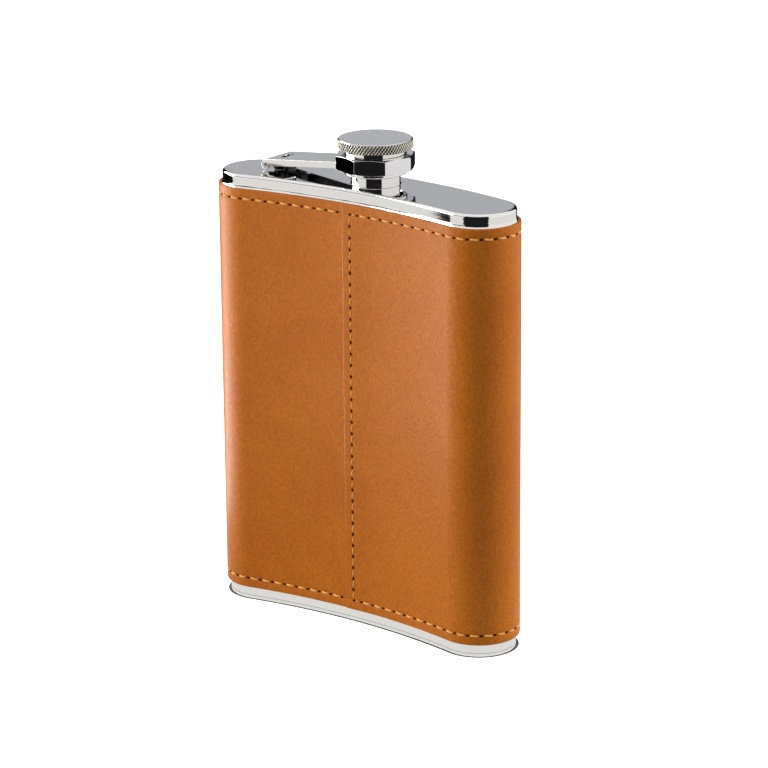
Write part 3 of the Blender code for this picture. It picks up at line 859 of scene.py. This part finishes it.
def make_bracket(steel):
    """A strip bent to a U round the hinge, its ears cut away below for the arm to swing under."""
    half, sheet, corner = BRACKET_HALF_WIDTH, BRACKET_SHEET, BRACKET_CORNER
    near, bend = BRACKET_LENGTH - corner, corner - sheet
    back = -EAR_ROUND
    plan = [(back, -half)] + arc((near, corner - half), corner, -pi / 2, 0, 14)
    plan += arc((near, half - corner), corner, 0, pi / 2, 14) + [(back, half), (back, half - sheet)]
    plan += arc((near, half - corner), bend, pi / 2, 0, 10)
    plan += arc((near, corner - half), bend, 0, -pi / 2, 10)
    plan += [(back, sheet - half)]
    foot = BODY_TOP + SMALL_EASE - PIN_AXIS.z
    past = BRACKET_LENGTH + CUT_REACH / 2
    side = arc((0, 0), EAR_ROUND, 3 * pi / 2, pi / 2, 20) + [(0, EAR_TOP)]
    side += [(past, EAR_TOP), (past, foot), (EAR_FOOT, foot)]
    side += [(EAR_FOOT, -EAR_ROUND - EAR_NOTCH), (EAR_FOOT - EAR_NOTCH, -EAR_ROUND)]
    made = shape("bracket", plate_of(plan, foot, EAR_TOP + 10 * SMALL_EASE))
    cut(made, plate_of(side, -2 * half, 2 * half, upright=True), "INTERSECT")
    cut(made, rod_mesh(PIN_RADIUS + 1.5 * ARM_PLAY, -2 * half, 2 * half))
    round_edges(made, BRACKET_EDGE, 3, radians(45))
    mesh = tidy_mesh(made.data, radians(50))
    mesh.transform(Matrix.Translation(PIN_AXIS))
    bpy.data.objects.remove(made)
    piece = new_piece("hinge_bracket_skin", mesh, steel, "flask", "mirror_steel", "hinge_bracket")
    weighted_normals(piece)


# ---------------------------------------------------------------- leather and stitching


def lap_rise(along):
    """How far the lapped end stands over the leather beneath it."""
    return LAP_RISE * (1 - smooth_step(along - LAP_EDGE, 0, LAP_BLEND))


def valley(distance):
    return exp(-((distance / VALLEY_WIDTH) ** 2))


def relief(along, height):
    """The leather's surface: pressed in along the stitches and a little full between seam and edge."""
    pressed = max(valley(height - seam) for seam in SEAM_HEIGHTS)
    if SEAM_HEIGHTS[0] < height < SEAM_HEIGHTS[1]:
        pressed = max(pressed, LAP_VALLEY * valley(along))
    return lap_rise(along) - VALLEY_DEPTH * pressed


def spaced(start, end, coarse, dense_at, fine, reach):
    """Rising values from start to end, close together near each of the places in dense_at."""
    values = [start]
    while values[-1] < end - fine:
        near = min(abs(values[-1] - spot) for spot in dense_at)
        step = fine if near < reach else min(coarse, max(fine, (near - reach) * 0.6))
        values.append(values[-1] + step)
    values[-1] = end
    return values


def make_leather(material):
    """One closed strip from the lap's upper edge, right round the body, to the end tucked beneath."""
    start, end = LAP_EDGE, LAP_EDGE + PERIMETER - LAP_CRACK
    columns = spaced(start, end, COLUMN_STEP, (start, 0, end), 0.00016, 0.0014)
    low, high = WRAP_LOW.z, WRAP_HIGH.z
    dense_at = (*SEAM_HEIGHTS, low, high)
    heights = spaced(low + EDGE_ROUND, high - EDGE_ROUND, ROW_STEP, dense_at, 0.0002, 0.0016)
    turns = [pi / 2 * i / 4 for i in range(4)]
    profile = [(low + EDGE_ROUND * (1 - cos(a)), -EDGE_ROUND * (1 - sin(a))) for a in turns]
    profile += [(height, 0) for height in heights]
    profile += [(high - EDGE_ROUND * (1 - cos(a)), -EDGE_ROUND * (1 - sin(a))) for a in reversed(turns)]
    rows = []
    for height, inset in profile:
        row = []
        for along in columns:
            # The upper layer's cut edge is eased over its first fraction of a millimetre.
            eased = LAP_EASE * exp(-((along - start) / LAP_EASE))
            row.append(place(along, height, relief(along, height) + inset - eased))
        rows.append(row)
    for height in (high, low):
        rows.append([place(along, height, -LEATHER_THICKNESS) for along in columns])
    count = len(columns)
    caps = [tuple(i * count for i in range(len(rows)))]
    caps.append(tuple(i * count + count - 1 for i in range(len(rows))))
    mesh = lattice("leather_jacket", rows, True, False, caps, radians(40))
    wrap = new_piece("leather_jacket", mesh, material, "flask", "leather", "leather_wrap")


def surface_frame(along, height, upright):
    """Point, direction of the seam, direction across it, and outward, all on the leather."""
    base = place(along, height, relief(along, height))
    out = outward(along)
    up = Vector((0, 0, 1))
    side = up.cross(out)
    return (base, up, -side, out) if upright else (base, side, up, out)


def stitch_rows(first, last, upright):
    """One twisted thread from hole to hole: it comes up, lies over the leather and goes down."""
    rings, sides = 19, 12
    length = max(last[0] - first[0], last[1] - first[1])
    radius = STITCH_RADIUS * (LAP_THREAD if upright else 1)
    rows = []
    for i in range(rings):
        share = i / (rings - 1)
        along = first[0] + (last[0] - first[0]) * share
        height = first[1] + (last[1] - first[1]) * share
        base, _, across, out = surface_frame(along, height, upright)
        inside = min(share, 1 - share) * length
        lift = radius * (2.65 * smooth_step(inside, 0.75 * HOLE_RADIUS, 2.3 * HOLE_RADIUS) - 2.2)
        middle = base + out * lift + across * STITCH_SLANT * cos(pi * share)
        row = []
        for j in range(sides):
            angle = 2 * pi * j / sides
            strand = 1 + 0.16 * cos(3 * (angle - 5.5 * share))
            row.append(middle + (across * cos(angle) * 1.12 + out * sin(angle)) * radius * strand)
        rows.append(row)
    return rows


def join_tubes(name, tubes):
    """One mesh of many separate capped tubes."""
    points, faces = [], []
    for rows in tubes:
        base, count = len(points), len(rows[0])
        points += [point for row in rows for point in row]
        for i in range(len(rows) - 1):
            for j in range(count):
                a, b = base + i * count + j, base + i * count + (j + 1) % count
                faces.append((a, b, b + count, a + count))
        final = base + (len(rows) - 1) * count
        faces.append(tuple(range(base, base + count)))
        faces.append(tuple(range(final, final + count)))
    mesh = bpy.data.meshes.new(name)
    mesh.from_pydata(points, [], faces)
    return tidy_mesh(mesh, radians(60))


def seam_holes():
    """The pierced holes of each seam as (along, height), in sewing order."""
    hidden_end = PERIMETER + LAP_EDGE
    run = hidden_end - LAST_STITCH - FIRST_STITCH
    count = round(run / STITCH_PITCH)
    places = [0.0] + [FIRST_STITCH + run * i / count for i in range(count + 1)] + [hidden_end]
    rounds = [[(place_along, height) for place_along in places] for height in SEAM_HEIGHTS]
    span = SEAM_HEIGHTS[1] - SEAM_HEIGHTS[0]
    rises = round(span / LAP_PITCH)
    lap = [(0, SEAM_HEIGHTS[0] + span * i / rises) for i in range(rises + 1)]
    return {"bottom_seam_thread": rounds[0], "top_seam_thread": rounds[1], "lap_seam_thread": lap}


def make_stitches(material):
    for node, holes in seam_holes().items():
        upright = node == "lap_seam_thread"
        tubes = [stitch_rows(first, last, upright) for first, last in zip(holes, holes[1:])]
        name = node.replace("thread", "stitches")
        new_piece(name, join_tubes(name, tubes), material, "flask", "thread", node)


def make_holes(material):
    """The pierced holes: shallow oval dimples in a dark material, painted shade where each stitch dives
    into the leather.
    """
    tubes = []
    for node, holes in seam_holes().items():
        upright = node == "lap_seam_thread"
        for along, height in holes:
            if along >= PERIMETER + LAP_EDGE:
                continue
            base, ahead, across, out = surface_frame(along, height, upright)
            rows = []
            for share, lift in ((1.0, -0.00006), (0.86, 0.00003), (0.6, 0.00005), (0.25, 0.00003)):
                row = []
                for j in range(14):
                    angle = 2 * pi * j / 14
                    spread = ahead * cos(angle) * 0.95 + across * sin(angle) * 0.85
                    row.append(base + spread * HOLE_RADIUS * share + out * lift)
                rows.append(row)
            tubes.append(rows)
    new_piece("stitch_holes", join_tubes("stitch_holes", tubes), material, "flask", "leather")


# ---------------------------------------------------------------- studio


def stage_mesh(name, points, faces, material):
    mesh = bpy.data.meshes.new(name)
    mesh.from_pydata(points, [], faces)
    mesh.materials.append(material)
    made = bpy.data.objects.new(name, mesh)
    bpy.context.scene.collection.objects.link(made)
    return made


def make_floor():
    """A lit white table, as used for catalogue pictures."""
    nodes = Nodes("studio_floor")
    tone = nodes.ramp(nodes.noise(3, 1.0, 0.5), (0.3, (0.90, 0.90, 0.90)), (0.7, (0.93, 0.93, 0.93)))
    nodes.link(tone, nodes.shader.inputs["Base Color"])
    nodes.set(Roughness=0.7, Specular_IOR_Level=0.2, Emission_Strength=FLOOR_GLOW)
    nodes.shader.inputs["Emission Color"].default_value = (1.0, 1.0, 1.0, 1.0)
    steps = 64
    rim = [compass(360 * i / steps, FLOOR_RADIUS, 0.0) for i in range(steps)]
    table = stage_mesh("studio_floor", rim, [tuple(range(steps))], nodes.material)
    table.visible_diffuse = False


def make_contact_shadow():
    """The thin dark line where the base meets the table."""
    nodes = Nodes("contact_shadow")
    tone = nodes.ramp(nodes.noise(300, 2.0, 0.5), (0.3, (0.10, 0.095, 0.09)), (0.7, (0.16, 0.15, 0.145)))
    nodes.link(tone, nodes.shader.inputs["Base Color"])
    nodes.set(Roughness=1.0, Specular_IOR_Level=0.0)
    inner, outer = (outline_ring(out, CARD_LIFT / 2) for out in (-SHADOW_WIDTH, SHADOW_WIDTH))
    count = len(inner)
    faces = [(i, (i + 1) % count, count + (i + 1) % count, count + i) for i in range(count)]
    shadow = stage_mesh("contact_shadow", inner + outer, faces, nodes.material)
    shadow.visible_diffuse = False
    shadow.visible_glossy = False


def world_light(strength):
    world = bpy.data.worlds.new("studio")
    world.use_nodes = True
    background = world.node_tree.nodes["Background"]
    background.inputs["Color"].default_value = (1.0, 1.0, 1.0, 1.0)
    background.inputs["Strength"].default_value = strength
    bpy.context.scene.world = world


def compass(bearing, radius, height):
    """A point at a bearing in degrees, measured from +X towards +Y."""
    return Vector((radius * cos(radians(bearing)), radius * sin(radians(bearing)), height))


def softbox(name, bearing, width, tall, power):
    """An area light aimed at the flask. Mirrors see the reflection cards in its place."""
    light = bpy.data.lights.new(name, "AREA")
    light.shape = "RECTANGLE"
    light.size = width
    light.size_y = tall
    light.energy = power
    lamp = bpy.data.objects.new(name, light)
    lamp.location = compass(bearing, SOFTBOX_RADIUS, SOFTBOX_HEIGHT)
    lamp.rotation_mode = "QUATERNION"
    lamp.rotation_quaternion = (SOFTBOX_AIM - lamp.location).to_track_quat("-Z", "Y")
    lamp.visible_glossy = False
    bpy.context.scene.collection.objects.link(lamp)


def glow_material(name, glow):
    material = bpy.data.materials.new(name)
    material.use_nodes = True
    tree = material.node_tree
    tree.nodes.clear()
    emission = tree.nodes.new("ShaderNodeEmission")
    output = tree.nodes.new("ShaderNodeOutputMaterial")
    emission.inputs["Color"].default_value = (*glow, 1.0)
    tree.links.new(emission.outputs["Emission"], output.inputs["Surface"])
    return material


def reflection_card(name, bearings, near, far, glow):
    """A card that only reflections see. near and far are (radius, height) of its two long edges."""
    steps = 24
    first, last = bearings
    turns = [first + (last - first) * i / steps for i in range(steps + 1)]
    points = [compass(turn, *near) for turn in turns] + [compass(turn, *far) for turn in turns]
    faces = [(i, i + 1, steps + i + 2, steps + i + 1) for i in range(steps)]
    card = stage_mesh(name, points, faces, glow_material(name, glow))
    card.visible_camera = False
    card.visible_diffuse = False
    card.visible_shadow = False
    return card


def make_reflections():
    """What the polished steel sees: white side fields, the dark room and a grey backdrop."""
    reflection_card("near_table", (0, 360), (0.001, CARD_LIFT), (NEAR_TABLE, CARD_LIFT), TABLE)
    for name, bearings, start, top, glow in (
        ("dark_front", CAMERA_SIDE, NEAR_TABLE, ROOM_HEIGHT, DARK),
        ("dark_right", DARK_RIGHT, NEAR_TABLE, ROOM_HEIGHT, DARK),
        ("dark_left", DARK_LEFT, NEAR_TABLE, ROOM_HEIGHT, DARK),
        ("grey_back", BACKDROP, NEAR_TABLE, ROOM_HEIGHT, GREY),
    ):
        reflection_card(name + "_floor", bearings, (start, CARD_LIFT), (ROOM_RADIUS, CARD_LIFT), glow)
        reflection_card(name + "_wall", bearings, (ROOM_RADIUS, 0.0), (ROOM_RADIUS, top), glow)
    table = ((NEAR_TABLE, CARD_LIFT), (ROOM_RADIUS, CARD_LIFT))
    foot, low, high, top = ((ROOM_RADIUS, z) for z in (0.0, GAP_BOTTOM, GAP_HEIGHT, ROOM_HEIGHT))
    for name, bearings, near, far, glow in (
        ("left_table", LEFT_FIELD, *table, TABLE),
        ("left_low", LEFT_FIELD, foot, low, WHITE),
        ("left_gap", LEFT_FIELD, low, high, DARK),
        ("right_table", RIGHT_FIELD, *table, TABLE),
        ("left_field", LEFT_FIELD, high, top, WHITE),
        ("right_field", RIGHT_FIELD, foot, top, WHITE),
        ("ceiling", (0, 360), (0.01, ROOM_HEIGHT), top, WHITE),
        ("key_panel", KEY_PANEL, (KEY_RADIUS, KEY_BOTTOM), (KEY_RADIUS, KEY_TOP), KEY_WHITE),
    ):
        reflection_card(name, bearings, near, far, glow)
    # A bright table to the left gives the leather its sheen; the steel doesn't see it.
    lift = 2 * CARD_LIFT
    near, far = (NEAR_TABLE, lift), (KEY_TABLE_RADIUS, lift)
    sheen = reflection_card("key_table", KEY_TABLE, near, far, KEY_WHITE)
    lit = bpy.data.collections.new("lit_by_key_table")
    lit.objects.link(bpy.data.objects["leather_jacket"])
    sheen.light_linking.receiver_collection = lit


def make_studio():
    make_floor()
    make_contact_shadow()
    world_light(WORLD_GLOW)
    softbox("left_softbox", -138, 0.9, 1.0, 15.6)
    softbox("right_softbox", 40, 0.7, 1.0, 16)
    make_reflections()


def make_camera():
    """The photographer's place: a long lens, a little above the flask and to its right."""
    right = Vector((cos(CAMERA_AZIMUTH), sin(CAMERA_AZIMUTH), 0))
    level = Vector((sin(CAMERA_AZIMUTH), -cos(CAMERA_AZIMUTH), 0))
    up = Vector((0, 0, 1))
    back = level * cos(CAMERA_ELEVATION) + up * sin(CAMERA_ELEVATION)
    aim = CAMERA_TARGET + right * CAMERA_AIM_RIGHT + up * CAMERA_AIM_UP
    data = bpy.data.cameras.new("camera")
    data.sensor_width = 36
    data.lens = CAMERA_LENS
    data.clip_start = 0.05
    data.clip_end = 50
    camera = bpy.data.objects.new("camera", data)
    camera.location = CAMERA_TARGET + back * CAMERA_DISTANCE
    camera.rotation_mode = "QUATERNION"
    look = (aim - camera.location).to_track_quat("-Z", "Y")
    camera.rotation_quaternion = look @ Quaternion((0, 0, 1), CAMERA_ROLL)
    bpy.context.scene.collection.objects.link(camera)
    bpy.context.scene.camera = camera


def main():
    mirror = steel_material("mirror_steel", (0.80, 0.80, 0.81), 0.02, 0.00002, (25, 25, 25))
    band = steel_material("band_steel", STEEL, 0.07, 0.00010, (70, 70, 900))
    satin = steel_material("satin_steel", STEEL, 0.22, 0.00006, (500, 500, 60))
    crown = steel_material("crown_steel", (0.86, 0.86, 0.87), 0.06)
    knurled = steel_material("knurled_steel", (0.90, 0.86, 0.78), 0.32)
    turned_steel = steel_material("turned_steel", (0.80, 0.79, 0.77), 0.05)
    make_body_wall(band, satin)
    make_top_plate(mirror)
    make_bottom_plate(satin)
    make_neck(turned_steel)
    # The bracket's near-black colour is painted shade and dark reflection from under the arm.
    make_bracket(steel_material("bracket_painted_shade_steel", (0.055, 0.050, 0.050), 0.10))
    # The pin's dark grey is painted shade round its dimpled ends.
    make_pin(steel_material("pin_painted_shade_steel", (0.22, 0.21, 0.20), 0.12))
    make_arm(turned_steel)
    make_collar(mirror)
    make_sleeve(turned_steel)
    make_cap_ring(turned_steel)
    # The knurl grooves' near-black steel is painted shade.
    make_cap_head(crown, knurled, steel_material("knurl_groove_painted_shade", (0.035, 0.028, 0.022), 0.45))
    make_seal(rubber_material())
    make_leather(leather_material())
    make_stitches(thread_material())
    make_holes(hole_painted_shade_material())
    make_camera()
    make_studio()
    bpy.context.scene.view_settings.view_transform = "Standard"


main()
